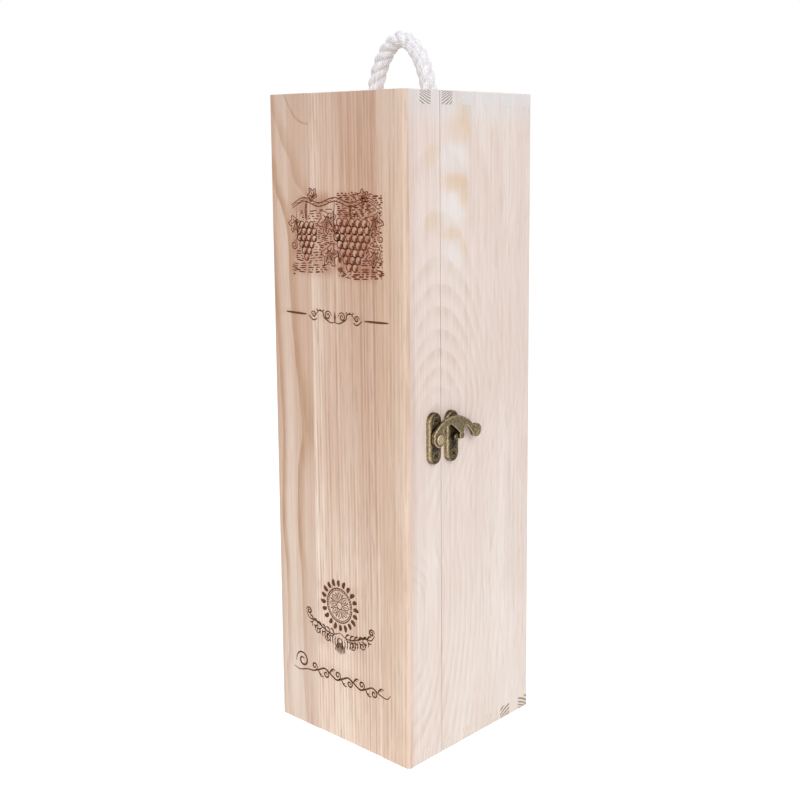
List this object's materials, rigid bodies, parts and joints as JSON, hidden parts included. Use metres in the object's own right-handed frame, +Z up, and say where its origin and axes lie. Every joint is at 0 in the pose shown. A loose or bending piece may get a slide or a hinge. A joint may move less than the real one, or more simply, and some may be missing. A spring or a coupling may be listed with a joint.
{
  "type": "wooden wine bottle box",
  "caption": "Tall finger-jointed pine gift box for a wine bottle, with a full-height hinged lid, a swinging hook latch and a rope carrying loop on top.",
  "frame": {"origin": "centre of the case's footprint, on the surface that the box stands on", "axes": "+Z up along the box's length, -Y out of the lid's face, +X towards the hook and -X towards the hinges"},
  "size_m": [0.111, 0.1, 0.3839],
  "materials": {
    "pine": "bare sanded pine",
    "face_pine": "bare sanded pine with burnt engraving",
    "bronze": "antiqued bronze plating, rubbed bright on its edges",
    "screws": "antiqued bronze plating",
    "rope": "three-strand twisted cotton rope"
  },
  "bodies": {
    "box": {"back_panel": "pine", "box_left_side": "pine", "box_right_side": "pine", "box_top_end": "pine", "box_bottom_end": "pine", "upper_hinge_box_leaf": "bronze", "upper_hinge_pin": "bronze", "lower_hinge_box_leaf": "bronze", "lower_hinge_pin": "bronze", "hinge_box_screws": "screws", "catch_plate": "bronze", "catch_plate_screws": "screws", "rope_handle": "rope", "rope_knot_left": "rope", "rope_knot_right": "rope"},
    "lid": {"lid_face_left": "face_pine", "lid_face_middle": "face_pine", "lid_face_right": "face_pine", "lid_left_side": "pine", "lid_right_side": "pine", "lid_top_end": "pine", "lid_bottom_end": "pine", "upper_hinge_lid_leaf": "bronze", "lower_hinge_lid_leaf": "bronze", "hinge_lid_screws": "screws", "hook_plate": "bronze", "hook_plate_screws": "screws", "hook_rivet": "bronze"},
    "hook": {"hook": "bronze"}
  },
  "joints": [
    {"name": "lid_hinge", "type": "hinge", "parent": "box", "child": "lid", "pos_m": [-0.052, -0.024, 0.175], "axis": [0, 0, -1], "range_deg": [0, 180]},
    {"name": "hook_pivot", "type": "hinge", "parent": "lid", "child": "hook", "pos_m": [0.052, -0.031, 0.1742], "axis": [1, 0, 0], "range_deg": [0, 110]}
  ]
}
